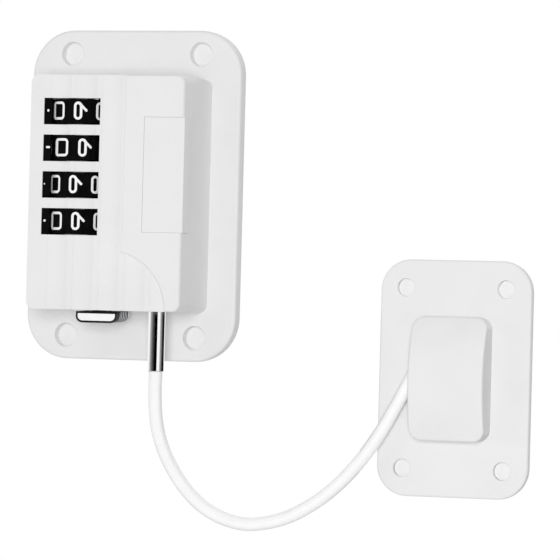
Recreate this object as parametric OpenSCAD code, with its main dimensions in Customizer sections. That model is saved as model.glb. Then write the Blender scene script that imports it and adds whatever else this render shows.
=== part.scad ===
// Refrigerator lock: a combination lock unit and a small anchor, joined by a short coated steel cable.
// Millimetres. X runs to the right, Y into the door and Z up. The origin is the middle of the lock
// unit's adhesive back, and both adhesive backs lie in the plane Y = 0. A depth is a distance from
// that plane towards the viewer.

/* [Lock base] */
// Width of the lock's base plate
plate_w = 65.7; // [62:0.1:72]
// Height of the lock's base plate
plate_h = 96.7; // [94:0.1:106]
// Thickness of the lock's base plate
plate_t = 3.2; // [2.8:0.1:4.2]
// Corner radius of the lock's base plate
plate_r = 13; // [9:0.5:14]
// Thickness of the lock's adhesive pad
pad_t = 1.2; // [0.8:0.1:1.8]
// Diameter of the lock's screw holes
hole_d = 7; // [5:0.1:7.6]
// Distance between the screw holes across the plate
hole_dx = 40.5; // [34:0.5:42]
// Distance between the screw holes up the plate
hole_dz = 82.8; // [81:0.2:84]

/* [Case] */
// Width of the case
case_w = 48; // [47.4:0.2:50]
// Height of the case
case_h = 68; // [60:0.2:75]
// Depth of the case from base plate to raised panel
case_d = 22.4; // [22:0.1:24]
// Thickness of the case's side walls
case_wall = 2; // [1.6:0.1:2]
// Thickness of the case's front wall
front_wall = 2.4; // [2.1:0.1:2.6]
// Corner radius of the case
case_r = 2.4; // [2.2:0.1:4.5]
// Rounding of the case's front edge
case_edge = 1; // [0.6:0.1:1.6]
// Height of the raised panel above the fluted field
panel_step = 0.5; // [0.3:0.05:0.8]
// Left edge of the raised panel, from the case's left side
panel_from = 29.6; // [28:0.1:31]
// Radius of the arc that cuts the panel's lower corner
arc_r = 17.4; // [15:0.1:19]
// Centre of that arc, from the case's left side
arc_from = 26.2; // [24:0.1:28]
// Width of one flute
flute_w = 6.1; // [3.5:0.1:6.5]
// Distance from one flute to the next
flute_pitch = 8.1; // [7:0.1:8.4]
// Depth of the flutes
flute_depth = 0.6; // [0.3:0.05:0.8]
// Upper edge of the blank panel, below the case's top
blank_from = 12.1; // [10:0.1:14]
// Height of the blank panel in the right edge
blank_h = 33.2; // [26:0.2:38]
// Width of the blank panel
blank_w = 12; // [10:0.1:14]

/* [Dials] */
// Radius of a number wheel
dial_r = 9.6; // [9.2:0.1:9.7]
// Height of a number wheel
dial_h = 7.1; // [6.6:0.1:7.3]
// Distance from one dial to the next
dial_pitch = 10.65; // [10.3:0.05:10.9]
// Middle of the four dials, below the case's top
dial_mid = 26.6; // [26.6:0.1:28]
// Dial axis, from the case's left side
dial_from = 13.1; // [12.9:0.05:13.6]
// How far the wheels stand out of the fluted field
dial_proud = 0.4; // [0.2:0.05:0.7]
// Width of a window
window_w = 17.6; // [15:0.1:18]
// Height of a window
window_h = 7.7; // [7.4:0.05:8]
// Diameter of the dial shaft
shaft_d = 4; // [3.4:0.1:4.4]

/* [Latch] */
// Travel of the latch slider
latch_travel = 2.4; // [2:0.1:2.6]
// Width of the thumb tab
tab_w = 13; // [10:0.2:14]
// Height of the thumb tab
tab_h = 3.8; // [2.8:0.1:4.5]
// Depth of the thumb tab from front to back
tab_depth = 9.3; // [8:0.1:11]
// Front of the thumb tab, behind the case's front
tab_back = 6; // [5:0.1:7]
// Middle of the thumb tab, from the case's left side
tab_from = 20; // [19:0.1:21]

/* [Cable] */
// Diameter of the cable
cable_d = 3.9; // [3.2:0.1:4.4]
// Diameter of the ferrule and plug pin
plug_d = 4.9; // [4.5:0.1:5.2]
// Length of ferrule that shows below the case
ferrule_out = 17.4; // [14:0.2:20]
// Plug axis, from the case's right side
plug_from = 11; // [10.2:0.1:11.6]

/* [Anchor] */
// Middle of the anchor to the right of the lock's middle
anchor_x = 99.5; // [96:0.5:104]
// Middle of the anchor below the lock's middle
anchor_drop = 51; // [48:0.5:54]
// Width of the anchor plate
anchor_w = 45.2; // [43:0.1:50]
// Height of the anchor plate
anchor_h = 67.9; // [66:0.1:74]
// Thickness of the anchor plate
anchor_t = 1.8; // [1.5:0.1:2.4]
// Corner radius of the anchor plate
anchor_r = 9; // [6:0.2:10]
// Thickness of the anchor's adhesive pad
anchor_pad_t = 1; // [0.7:0.1:1.3]
// Diameter of the anchor's screw holes
anchor_hole_d = 5.2; // [4:0.1:6]
// Distance between the anchor's screw holes across the plate
anchor_hole_dx = 30; // [28:0.2:32]
// Distance between the anchor's screw holes up the plate
anchor_hole_dz = 51.8; // [50:0.2:54]
// Width of the arched cap
cap_w = 22.4; // [22:0.1:24]
// Height of the arched cap
cap_h = 35.4; // [34.6:0.2:38]
// Rise of the cap over the anchor plate at its middle
cap_rise = 8.6; // [8.4:0.1:10]
// Rise of the cap at its upper and lower ends
cap_end = 4; // [3.8:0.1:4.6]

/* [Hidden] */
$fn = 64;

white = [0.93, 0.93, 0.93];
foam = [0.88, 0.88, 0.86];
black = [0.03, 0.03, 0.03];
chrome = [0.78, 0.79, 0.81];
steel = [0.62, 0.63, 0.65];
through = 1;          // how far a cutter runs past the face it cuts
hair = 0.01;          // how far a cutter that ends flush runs past its face
slip = 0.02;          // gap of a push fit
facing = 0.05;        // gap between fixed faces that meet
running = 0.3;        // gap beside a piece that moves

// Depths and sides of the case
plate_front = pad_t + plate_t;
case_front = plate_front + case_d;
field_front = case_front - panel_step;
inner_front = case_front - front_wall;
case_left = -case_w / 2;
case_right = case_w / 2;
case_bottom = -case_h / 2;
inner_bottom = case_bottom + case_wall;
case_top = case_h / 2;
inner_top = case_top - case_wall;
inner_r = 0.8;
pad_inset = 0.15;
plate_edge = 0.9;
blank_deep = 1.1;                     // thickness of the blank panel within the case
blank_lip = 4.6;                      // how far it wraps round the case's right edge
blank_proud = 0.3;
blank_gap = 0.12;
blank_top = case_top - blank_from;

// Dials
dial_x = case_left + dial_from;
dial_depth = field_front + dial_proud - dial_r;
dial_count = 4;
digits = 10;
digit_step = 360 / digits;
first_groove = -99;                   // a groove beside the first number, as a polar angle
dial_turn = [1.2, 10.5, -4.5, 1.5];   // each dial stands a little off its click
groove_r = 0.9;
groove_bite = 0.3;
wheel_edge = 0.4;
bore_r = 6.2;
notch_r = 0.7;
hub_gap = 0.2;
hub_r = bore_r - hub_gap;
key_r = 0.5;
ring_flange_r = inner_front - dial_depth - running;
ring_flange_t = 2.3;
gate_w = 3.4;
gate_deep = 2;
washer_r = 4.2;
washer_gap = 0.1;
wheel_low = -dial_h / 2 - facing;                // top of a code ring's flange below its dial's middle
ring_low = wheel_low - ring_flange_t;            // underside of that flange
washer_t = dial_pitch - dial_h / 2 + ring_low - 3 * facing;
dials_top = dial_z(0) + dial_h / 2 + washer_t + 2 * facing;
dials_low = dial_z(dial_count - 1) + ring_low - washer_t - 2 * facing;

// Cradle of the dials
cradle_wall = 0.9;
cradle_back_t = 1.4;
cradle_end_t = 2;
cradle_end_half = 6.2;
cradle_left = case_left + case_wall + facing;
dial_room = 0.5;                      // room beside the wheels
cradle_right = dial_x + dial_r + dial_room + cradle_wall;
cradle_high = dial_z(0) + dial_h / 2 + running;
cradle_lip_t = 0.6;                   // flange of the cradle behind the case's front wall
lip_over = 0.6;                       // how far the right flange reaches into the windows' width
strip_t = 0.6;                        // thickness of a mark's strip beside its wheel
index_drop = 0.25;                    // how far the strips lie below the fluted field

// Latch
bar_gap = 0.5;                        // room between the cradle and the slider's bar
bar_x = cradle_right + bar_gap;
bar_t = 2.6;
bar_over = 2;                         // how far the bar runs above its highest tongue
bar_deep = 7.6;
tongue_t = 1.7;
tongue_w = 2.8;
tongue_gap = 0.4;                     // room between a tongue and its code ring with the latch open
plug_x = case_right - plug_from;
plug_r = plug_d / 2;
plug_depth = plate_front + case_d / 2;
groove_up = 10;                       // the plug's groove above the case's floor
groove_z = inner_bottom + groove_up;
groove_h = 2.1;
core_r = 1.2;
fork_t = 1.5;
fork_w = 5.6;
fork_tip = plug_x - plug_r - tongue_gap;
fork_end = plug_x - core_r - running - latch_travel;
foot_t = 2;
foot_gap = 0.4;
foot_low = inner_bottom + foot_gap;
tab_x = case_left + tab_from;
tab_front = case_front - tab_back;
tab_gap = 0.12;                       // gap between the tab and the case's underside
tab_top = case_bottom - tab_gap;
tab_r = 2.4;
tab_ribs = 7;
tab_groove_r = 0.42;
tab_groove_out = 0.15;                // how far a groove's axis lies outside the tab's side
post_w = 4;
post_deep = 4.4;
post_depth = tab_front - tab_depth / 2;
spring_over = 5.6;
spring_z = groove_z + spring_over;
spring_r = 1.9;
spring_wire = 0.36;
spring_turns = 3.5;
stud_len = 1.4;                       // stud on the slider that centres the spring
stud_gap = 0.4;

// Plug and its socket
socket_half = 4;
socket_over = 10;
socket_top = groove_z + socket_over;
pin_in = 0.8;
pin_low = case_bottom + pin_in;
pin_over = 7.4;
pin_top = groove_z + pin_over;
tip_len = 2.4;
shank_len = 6.8;
ferrule_low = case_bottom - ferrule_out;

// Screws from behind
screw_r = 1;
screw_head_r = 1.9;
screw_head_t = 1.1;
screw_gap = 0.1;                      // room round a screw's shank in the plate
head_gap = 0.15;                      // room round its head
screw_room = 0.8;                     // depth of a pilot hole past the screw's end
screw_reach = 9;                      // how far a screw stands in the case
cap_screw_reach = 4.2;
boss_r = 2.2;
boss_bite = 0.1;                      // how far a boss runs into the wall beside it
boss_x = case_right - case_wall - boss_r;
boss_z = inner_top - boss_r;
case_screw_end = plate_front + screw_reach;

// Anchor
anchor_z = -anchor_drop;
anchor_front = anchor_pad_t + anchor_t;
cap_wall = 1.6;
cap_r = 3.5;
cap_edge = 0.6;
cap_sag = cap_rise - cap_end;
cap_arc_r = (cap_h * cap_h / 4 + cap_sag * cap_sag) / (2 * cap_sag);
cap_axis = anchor_front + cap_rise - cap_arc_r;
cap_left = anchor_x - cap_w / 2;
cap_boss_aside = 3.4;
cap_boss_x = anchor_x + cap_boss_aside;
cap_boss_dz = 10.5;
cap_screw_end = anchor_front + cap_screw_reach;

// The cable goes into the cap's left wall at a slant, and its crimp sits behind that wall
entry_angle = 62;
entry_up = 1.5;
entry_z = anchor_z + entry_up;
entry_lift = 2.3;
entry_depth = anchor_front + entry_lift;
entry_dir = [cos(entry_angle), 0, sin(entry_angle)];
entry_point = [cap_left, -entry_depth, entry_z];
stop_from = 9;
stop_len = 4.2;
stop_w = 5.6;
stop_deep = 3.6;
stop_r = 1.2;

// Route of the cable, from the ferrule's end by way of these places to the crimp
cable_start = [plug_x, -plug_depth, ferrule_low];
cable_end = entry_point + stop_from * entry_dir;
cable_span = [79.5, 10.7, 9.9];
cable_places = [
    [0, 0, 0],
    [0, 0, -7],
    [0.4, 0.3, -13.5],
    [1.8, 0.7, -20],
    [4.9, 1.3, -27],
    [9.8, 2, -34],
    [15.5, 2.8, -39.1],
    [22.2, 3.8, -42.2],
    [29.4, 4.8, -43.1],
    [38.5, 6, -41.1],
    [46.4, 7.2, -36.9],
    [53.4, 8.3, -31.3],
    [59.4, 9.2, -24.7],
    [64.9, 9.9, -17]
];
cable_steps = 3;
cable_sides = 8;
lead_in = 20;                         // straight stretch before the crimp
cable_stretch = cable_end - cable_start - cable_span;
cable_knots = concat(
    [for (p = cable_places) cable_start + p + cable_stretch * p[0] / cable_span[0]],
    [cable_end - lead_in * entry_dir, cable_end - lead_in / 2 * entry_dir, cable_end]
);

function dial_z(i) = case_top - dial_mid + ((dial_count - 1) / 2 - i) * dial_pitch;
function unit(v) = v / norm(v);

// Slope at a knot and place between two knots of a smooth curve
function slope(p, i) =
    let (last = len(p) - 1)
    i == 0 ? p[1] - p[0] : i == last ? p[last] - p[last - 1] : (p[i + 1] - p[i - 1]) / 2;
function between(p, i, t) =
    (2 * t * t * t - 3 * t * t + 1) * p[i] + (t * t * t - 2 * t * t + t) * slope(p, i)
    + (3 * t * t - 2 * t * t * t) * p[i + 1] + (t * t * t - t * t) * slope(p, i + 1);
function curve(p, steps) = concat(
    [for (i = [0 : len(p) - 2], k = [0 : steps - 1]) between(p, i, k / steps)],
    [p[len(p) - 1]]
);

// A shape in X and Z, filled between two depths
module slab(from, to) {
    translate([0, -from, 0])
        rotate([90, 0, 0])
            linear_extrude(to - from)
                children();
}

// A box given by its two opposite corners as X, depth and Z
module block(a, b) {
    translate([a[0], -b[1], a[2]])
        cube([b[0] - a[0], b[1] - a[1], b[2] - a[2]]);
}

// A round rod along Y, at a place in X and Z, between two depths
module rod(x, z, r, from, to) {
    translate([x, -from, z])
        rotate([90, 0, 0])
            cylinder(h = to - from, r = r);
}

module round_rect(w, h, r) {
    square([w - 2 * r, h], center = true);
    square([w, h - 2 * r], center = true);
    for (sx = [-1, 1], sz = [-1, 1])
        translate([sx * (w / 2 - r), sz * (h / 2 - r)])
            circle(r);
}

// A plate with round corners and a rounded front edge
module soft_plate(w, h, r, from, to, edge) {
    steps = 6;
    rim = [for (k = [0 : steps]) [r - edge + edge * cos(k * 90 / steps),
                                  to - from - edge + edge * sin(k * 90 / steps)]];
    hull()
        for (sx = [-1, 1], sz = [-1, 1])
            translate([sx * (w / 2 - r), -from, sz * (h / 2 - r)])
                rotate([90, 0, 0])
                    rotate_extrude($fn = 48)
                        polygon(concat([[0, 0], [r, 0]], rim, [[0, to - from]]));
}

// Round section swept along a row of points. The points never run along the axis given as aside.
module sweep(points, r, sides, aside) {
    last = len(points) - 1;
    along = [for (i = [0 : last]) unit(points[min(i + 1, last)] - points[max(i - 1, 0)])];
    across = [for (t = along) unit(cross(t, aside))];
    rings = [for (i = [0 : last], k = [0 : sides - 1])
        points[i] + r * cos(k * 360 / sides) * across[i]
                  + r * sin(k * 360 / sides) * cross(along[i], across[i])];
    walls = [for (i = [0 : last - 1], k = [0 : sides - 1], half = [0, 1])
        let (n = (k + 1) % sides, low = i * sides, high = low + sides)
        half == 0 ? [low + k, high + k, high + n] : [low + k, high + n, low + n]];
    ends = [[for (k = [0 : sides - 1]) k], [for (k = [sides - 1 : -1 : 0]) last * sides + k]];
    polyhedron(points = rings, faces = concat(walls, ends), convexity = 8);
}

module hole_places(dx, dz) {
    for (sx = [-1, 1], sz = [-1, 1])
        translate([sx * dx / 2, 0, sz * dz / 2])
            children();
}

// A countersunk screw driven from behind, with its head just inside a plate's back
module back_screw(back, end) {
    rod(0, 0, screw_r - slip, back + facing, end);
    translate([0, -back - facing, 0])
        rotate([90, 0, 0])
            cylinder(h = screw_head_t, r1 = screw_head_r, r2 = screw_r);
}

module back_screw_hole(back, to) {
    rod(0, 0, screw_r + screw_gap, back - through, to + through);
    translate([0, hair - back, 0])
        rotate([90, 0, 0])
            cylinder(h = screw_head_t + head_gap, r1 = screw_head_r + head_gap, r2 = screw_r + screw_gap);
}

module case_screw_places() {
    for (sx = [-1, 1], sz = [-1, 1])
        translate([sx * boss_x, 0, sz * boss_z])
            children();
}

module cap_screw_places() {
    for (s = [-1, 1])
        translate([cap_boss_x, 0, anchor_z + s * cap_boss_dz])
            children();
}

module lock_pad() {
    color(foam)
        difference() {
            slab(0, pad_t)
                round_rect(plate_w - 2 * pad_inset, plate_h - 2 * pad_inset, plate_r - pad_inset);
            hole_places(hole_dx, hole_dz)
                rod(0, 0, hole_d / 2, -through, pad_t + through);
        }
}

module lock_plate() {
    color(white)
        difference() {
            soft_plate(plate_w, plate_h, plate_r, pad_t, plate_front, plate_edge);
            hole_places(hole_dx, hole_dz)
                rod(0, 0, hole_d / 2, pad_t - through, plate_front + through);
            case_screw_places()
                back_screw_hole(pad_t, plate_front);
        }
}

// The part of the case's front that lies lower than the raised panel
module fluted_field() {
    translate([case_left - through, case_bottom - through])
        square([panel_from + through, case_h + 2 * through]);
    translate([case_left + arc_from, case_bottom])
        circle(arc_r);
}

module flutes() {
    flute_r = (flute_w * flute_w / 4 + flute_depth * flute_depth) / (2 * flute_depth);
    first = 9.75;
    intersection() {
        for (i = [0 : 4])
            translate([case_left + first + i * flute_pitch, -field_front - flute_r + flute_depth, 0])
                cylinder(h = case_h + 2 * through, r = flute_r, center = true, $fn = 96);
        slab(field_front - 2 * flute_depth, case_front + through)
            fluted_field();
    }
}

// The blank panel's front and lip as two blocks, made larger all round by a gap
module blank_space(gap) {
    low = blank_top - blank_h - gap;
    high = blank_top + gap;
    block([case_right - blank_w - gap, case_front - blank_deep - gap / 2, low],
          [case_right + through, case_front + through, high]);
    block([case_right - blank_deep - gap / 2, case_front - blank_lip - gap, low],
          [case_right + through, case_front + through, high]);
}

module front_cover() {
    color(white)
        difference() {
            union() {
                difference() {
                    soft_plate(case_w, case_h, case_r, plate_front, case_front, case_edge);
                    slab(plate_front - through, inner_front)
                        round_rect(case_w - 2 * case_wall, case_h - 2 * case_wall, inner_r);
                }
                case_screw_places()
                    rod(0, 0, boss_r + boss_bite, plate_front, inner_front + facing);
            }
            slab(field_front, case_front + through)
                fluted_field();
            flutes();
            for (i = [0 : dial_count - 1])
                block([dial_x - window_w / 2, inner_front - through, dial_z(i) - window_h / 2],
                      [dial_x + window_w / 2, case_front + through, dial_z(i) + window_h / 2]);
            blank_space(blank_gap);
            case_screw_places()
                rod(0, 0, screw_r, plate_front - through, case_screw_end + screw_room);
            translate([plug_x, -plug_depth, case_bottom - through])
                cylinder(h = case_wall + 2 * through, r = plug_r + running);
            block([tab_x - post_w / 2 - running, post_depth - post_deep / 2 - running,
                   case_bottom - through],
                  [tab_x + post_w / 2 + latch_travel + running, post_depth + post_deep / 2 + running,
                   inner_bottom + through]);
        }
}

module side_panel() {
    color(white)
        intersection() {
            soft_plate(case_w + 2 * blank_proud, case_h, case_r, plate_front,
                       case_front + blank_proud, case_edge);
            blank_space(0);
        }
}

// Half of a wheel's width at a depth from the door
function wheel_half(depth) = sqrt(pow(dial_r, 2) - pow(depth - dial_depth, 2));

// Black flanges behind the case's front wall. The left one ends beside the wheels, the right one at
// the windows' edge. At the left of each window stands a thin strip on a foot, for the reading mark.
module window_strips() {
    front = inner_front - facing;
    beside = wheel_half(front - cradle_lip_t) + running;
    strip = dial_x - wheel_half(front) - running;
    low = dial_x - window_w / 2 + slip;
    for (span = [[cradle_left, dial_x - beside], [dial_x + window_w / 2 - lip_over, cradle_right]])
        block([span[0], front - cradle_lip_t, dials_low], [span[1], front, cradle_high]);
    strip_front = field_front - index_drop;
    for (i = [0 : dial_count - 1], step = [[(low + strip) / 2, front - slip],
                                           [strip, strip_front - strip_t]])
        block([low, step[1], dial_z(i) - window_h / 2 + slip],
              [step[0], strip_front, dial_z(i) + window_h / 2 - slip]);
}

// Black frame round the dials: a back, two side walls and two ends that hold the shaft
module dial_cradle() {
    back = plate_front + cradle_back_t;
    low = dials_low - cradle_end_t;
    high = dials_top + cradle_end_t;
    color(black)
        difference() {
            union() {
                block([cradle_left, plate_front, dials_low], [cradle_right, back, cradle_high]);
                block([dial_x - cradle_end_half, plate_front, low], [dial_x + cradle_end_half, back, high]);
                for (x = [cradle_left, cradle_right - cradle_wall])
                    block([x, plate_front, dials_low],
                          [x + cradle_wall, inner_front - facing, cradle_high]);
                window_strips();
                for (z = [low, dials_top])
                    block([dial_x - cradle_end_half, plate_front, z],
                          [dial_x + cradle_end_half, dial_depth + shaft_d, z + cradle_end_t]);
            }
            translate([dial_x, -dial_depth, low - through])
                cylinder(h = high - low + 2 * through, r = shaft_d / 2 + slip);
            for (i = [0 : dial_count - 1])
                translate([cradle_right, -dial_depth, tongue_z(i)])
                    cube([4 * cradle_wall, tongue_w + 2 * running, tongue_t + 2 * running], center = true);
        }
}

module dial_shaft() {
    low = dials_low - cradle_end_t;
    color(steel)
        translate([dial_x, -dial_depth, low])
            cylinder(h = dials_top + cradle_end_t - low, r = shaft_d / 2);
}

module spacer_washers() {
    lows = concat([for (i = [0 : dial_count - 1]) dial_z(i) + ring_low - facing - washer_t],
                  [dials_top - facing - washer_t]);
    color(steel)
        for (z = lows)
            translate([dial_x, -dial_depth, z])
                difference() {
                    cylinder(h = washer_t, r = washer_r);
                    translate([0, 0, -through])
                        cylinder(h = washer_t + 2 * through, r = shaft_d / 2 + washer_gap);
                }
}

function tongue_z(i) = dial_z(i) + (wheel_low + ring_low) / 2;

module dial_place(i) {
    translate([dial_x, -dial_depth, dial_z(i)])
        rotate([0, 0, dial_turn[i]])
            children();
}

module number_wheel(i) {
    half = dial_h / 2;
    color(black)
        dial_place(i)
            difference() {
                rotate_extrude($fn = 96)
                    polygon([[bore_r, -half], [dial_r - wheel_edge, -half], [dial_r, wheel_edge - half],
                             [dial_r, half - wheel_edge], [dial_r - wheel_edge, half], [bore_r, half]]);
                for (k = [0 : digits - 1])
                    rotate([0, 0, first_groove + k * digit_step]) {
                        translate([dial_r + groove_r - groove_bite, 0, 0])
                            cylinder(h = dial_h + 2 * through, r = groove_r, center = true);
                        translate([bore_r, 0, 0])
                            cylinder(h = dial_h + 2 * through, r = notch_r, center = true, $fn = 24);
                    }
            }
}

// Hub and flange that turn with a number wheel. One key fits a notch of the wheel's bore, and the
// gate in the flange faces the latch when the opening number is set.
module code_ring(i) {
    color(steel)
        dial_place(i)
            difference() {
                union() {
                    translate([0, 0, ring_low])
                        cylinder(h = ring_flange_t, r = ring_flange_r);
                    translate([0, 0, ring_low])
                        cylinder(h = dial_h - facing - ring_low - dial_h / 2, r = hub_r);
                    rotate([0, 0, first_groove])
                        translate([hub_r, 0, ring_low])
                            cylinder(h = dial_h - facing - ring_low - dial_h / 2, r = key_r, $fn = 24);
                }
                cylinder(h = 4 * dial_h, r = shaft_d / 2 + facing, center = true);
                translate([ring_flange_r - gate_deep, -gate_w / 2, ring_low - through])
                    cube([gate_deep + through, gate_w, ring_flange_t + through]);
            }
}

// Leaf behind the dials, with a bowed finger for each
module detent_spring() {
    leaf_t = 0.3;
    leaf_half = 4;
    leaf_rim = 0.6;
    finger = leaf_half - leaf_rim;
    seat = plate_front + cradle_back_t + facing;
    bow = dial_depth - dial_r - running - seat - leaf_t;
    bow_r = (finger * finger + bow * bow) / (2 * bow);
    color(steel) {
        block([dial_x - leaf_half, seat, dial_z(dial_count - 1) - dial_h / 2],
              [dial_x + leaf_half, seat + leaf_t, dial_z(0) + dial_h / 2]);
        for (i = [0 : dial_count - 1])
            translate([dial_x, -seat, dial_z(i) - dial_h / 4])
                linear_extrude(dial_h / 2)
                    intersection() {
                        translate([0, bow_r - bow])
                            difference() {
                                circle(bow_r + leaf_t);
                                circle(bow_r);
                            }
                        translate([-leaf_half, -2 * bow])
                            square([2 * leaf_half, 2 * bow]);
                    }
    }
}

module latch_slider() {
    bar_front = dial_depth + bar_deep / 2;
    bar_back = dial_depth - bar_deep / 2;
    bar_end = bar_x + bar_t;
    color(steel)
        difference() {
            union() {
                block([bar_x, bar_back, foot_low], [bar_end, bar_front, tongue_z(0) + bar_over]);
                for (i = [0 : dial_count - 1])
                    block([dial_x + ring_flange_r + tongue_gap, dial_depth - tongue_w / 2,
                           tongue_z(i) - tongue_t / 2],
                          [bar_x + facing, dial_depth + tongue_w / 2, tongue_z(i) + tongue_t / 2]);
                block([tab_x - post_w, bar_back, foot_low], [bar_end, bar_front, foot_low + foot_t]);
                block([bar_end - facing, plug_depth - fork_w / 2, groove_z - fork_t / 2],
                      [fork_tip, plug_depth + fork_w / 2, groove_z + fork_t / 2]);
                translate([bar_end - facing, -plug_depth, spring_z])
                    rotate([0, 90, 0])
                        cylinder(h = stud_len, r = spring_r - spring_wire - stud_gap);
            }
            block([fork_end, plug_depth - core_r - running / 2, groove_z - fork_t],
                  [fork_tip + through, plug_depth + core_r + running / 2, groove_z + fork_t]);
            block([tab_x - post_w / 2 - slip, post_depth - post_deep / 2 - slip, foot_low - through],
                  [tab_x + post_w / 2 + slip, post_depth + post_deep / 2 + slip,
                   foot_low + foot_t + through]);
        }
}

// Thumb tab with rounded lower corners, a ribbed grip on both sides and a post up into the slider
module release_tab() {
    rib_pitch = tab_depth / tab_ribs;
    color(chrome) {
        difference() {
            slab(tab_front - tab_depth, tab_front)
                translate([tab_x, tab_top])
                    intersection() {
                        round_rect(tab_w, 2 * tab_h, tab_r);
                        translate([-tab_w / 2, -tab_h])
                            square([tab_w, tab_h]);
                    }
            for (s = [-1, 1], k = [1 : tab_ribs - 1])
                translate([tab_x + s * (tab_w / 2 + tab_groove_out), k * rib_pitch - tab_front,
                           tab_top - tab_h / 2])
                    cylinder(h = tab_h + 2 * through, r = tab_groove_r, center = true, $fn = 24);
        }
        block([tab_x - post_w / 2, post_depth - post_deep / 2, tab_top - facing],
              [tab_x + post_w / 2, post_depth + post_deep / 2, foot_low + foot_t]);
    }
}

module latch_spring() {
    from = bar_x + bar_t + spring_wire / 2 + facing;
    to = plug_x - socket_half - spring_wire / 2 - facing;
    steps = round(spring_turns * 12);
    path = [for (k = [0 : steps])
        let (a = k * 360 * spring_turns / steps)
        [from + (to - from) * k / steps, -plug_depth + spring_r * cos(a), spring_z + spring_r * sin(a)]];
    color(steel)
        sweep(path, spring_wire / 2, 6, [1, 0, 0]);
}

module plug_socket() {
    color(white)
        difference() {
            block([plug_x - socket_half, plate_front, inner_bottom + facing],
                  [plug_x + socket_half, inner_front - facing, socket_top]);
            translate([plug_x, -plug_depth, inner_bottom - through])
                cylinder(h = socket_top - inner_bottom + 2 * through, r = plug_r + running);
            block([plug_x - socket_half - through, plug_depth - fork_w / 2 - running,
                   groove_z - fork_t / 2 - running],
                  [fork_tip + latch_travel + running, plug_depth + fork_w / 2 + running,
                   groove_z + fork_t / 2 + running]);
        }
}

module cover_screws() {
    color(steel)
        case_screw_places()
            back_screw(pad_t, case_screw_end);
}

// Pin with a groove for the latch's fork, a tapered tip and a shank in the ferrule
module plug_pin() {
    low = groove_z - groove_h / 2;
    high = groove_z + groove_h / 2;
    color(steel)
        translate([plug_x, -plug_depth, 0])
            rotate_extrude()
                polygon([
                    [0, pin_low - shank_len], [core_r, pin_low - shank_len], [core_r, pin_low],
                    [plug_r, pin_low], [plug_r, low], [core_r, low], [core_r, high],
                    [plug_r, high], [plug_r, pin_top - tip_len], [plug_r / 2, pin_top], [0, pin_top]
                ]);
}

module plug_ferrule() {
    chamfer = 0.35;
    color(chrome)
        translate([plug_x, -plug_depth, 0])
            rotate_extrude()
                polygon([
                    [0, ferrule_low], [plug_r - chamfer, ferrule_low], [plug_r, ferrule_low + chamfer],
                    [plug_r, pin_low], [core_r + slip, pin_low],
                    [core_r + slip, pin_low - shank_len - facing], [0, pin_low - shank_len - facing]
                ]);
}

module cable() {
    color(white)
        sweep(curve(cable_knots, cable_steps), cable_d / 2, cable_sides, [0, 1, 0]);
}

// Flat crimp, wider than the hole that the cable leaves by
module cable_stop() {
    color(steel)
        translate(cable_end)
            rotate([0, 90 - entry_angle, 0])
                linear_extrude(stop_len)
                    round_rect(stop_w, stop_deep, stop_r);
}

module anchor_pad() {
    color(foam)
        translate([anchor_x, 0, anchor_z])
            difference() {
                slab(0, anchor_pad_t)
                    round_rect(anchor_w - 2 * pad_inset, anchor_h - 2 * pad_inset, anchor_r - pad_inset);
                hole_places(anchor_hole_dx, anchor_hole_dz)
                    rod(0, 0, anchor_hole_d / 2, -through, anchor_pad_t + through);
            }
}

module anchor_plate() {
    color(white)
        difference() {
            translate([anchor_x, 0, anchor_z])
                difference() {
                    soft_plate(anchor_w, anchor_h, anchor_r, anchor_pad_t, anchor_front, plate_edge / 2);
                    hole_places(anchor_hole_dx, anchor_hole_dz)
                        rod(0, 0, anchor_hole_d / 2, anchor_pad_t - through, anchor_front + through);
                }
            cap_screw_places()
                back_screw_hole(anchor_pad_t, anchor_front);
        }
}

// Outline of the cap, made smaller on every side by an inset, under an arch lowered by another
module arch(inset, lowered) {
    intersection() {
        translate([anchor_x, 0, anchor_z])
            slab(anchor_front, anchor_front + 2 * cap_rise)
                round_rect(cap_w - 2 * inset, cap_h - 2 * inset, cap_r - inset);
        translate([anchor_x, -cap_axis, anchor_z])
            rotate([0, 90, 0])
                cylinder(h = cap_w + 2 * through, r = cap_arc_r - lowered, center = true, $fn = 120);
    }
}

// The cap's outer form, with its edge rounded all along the arch
module soft_arch() {
    steps = 4;
    hull()
        for (k = [0 : steps])
            arch(cap_edge * (1 - cos(k * 90 / steps)), cap_edge * (1 - sin(k * 90 / steps)), $fn = 32);
}

module anchor_cover() {
    color(white)
        difference() {
            union() {
                difference() {
                    soft_arch();
                    translate([0, hair, 0])
                        arch(cap_wall, cap_wall);
                }
                intersection() {
                    cap_screw_places()
                        rod(0, 0, boss_r, anchor_front, anchor_front + cap_rise);
                    arch(cap_wall / 2, cap_wall / 2);
                }
            }
            cap_screw_places()
                rod(0, 0, screw_r, anchor_front - through, cap_screw_end + screw_room);
            translate(entry_point)
                rotate([0, 90 - entry_angle, 0])
                    cylinder(h = 2 * stop_from - 2 * running, r = cable_d / 2 + running / 2, center = true);
        }
}

module anchor_screws() {
    color(steel)
        cap_screw_places()
            back_screw(anchor_pad_t, cap_screw_end);
}

lock_pad();
lock_plate();
front_cover();
side_panel();
dial_cradle();
dial_shaft();
spacer_washers();
number_wheel(0);  // number_wheel_1
number_wheel(1);  // number_wheel_2
number_wheel(2);  // number_wheel_3
number_wheel(3);  // number_wheel_4
code_ring(0);  // code_ring_1
code_ring(1);  // code_ring_2
code_ring(2);  // code_ring_3
code_ring(3);  // code_ring_4
detent_spring();
latch_slider();
release_tab();
latch_spring();
plug_socket();
cover_screws();
plug_pin();
plug_ferrule();
cable();
cable_stop();
anchor_pad();
anchor_plate();
anchor_cover();
anchor_screws();
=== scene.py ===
import math
from itertools import pairwise

import bmesh
import bpy
from mathutils import Matrix, Vector
from mathutils.geometry import interpolate_bezier


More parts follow.
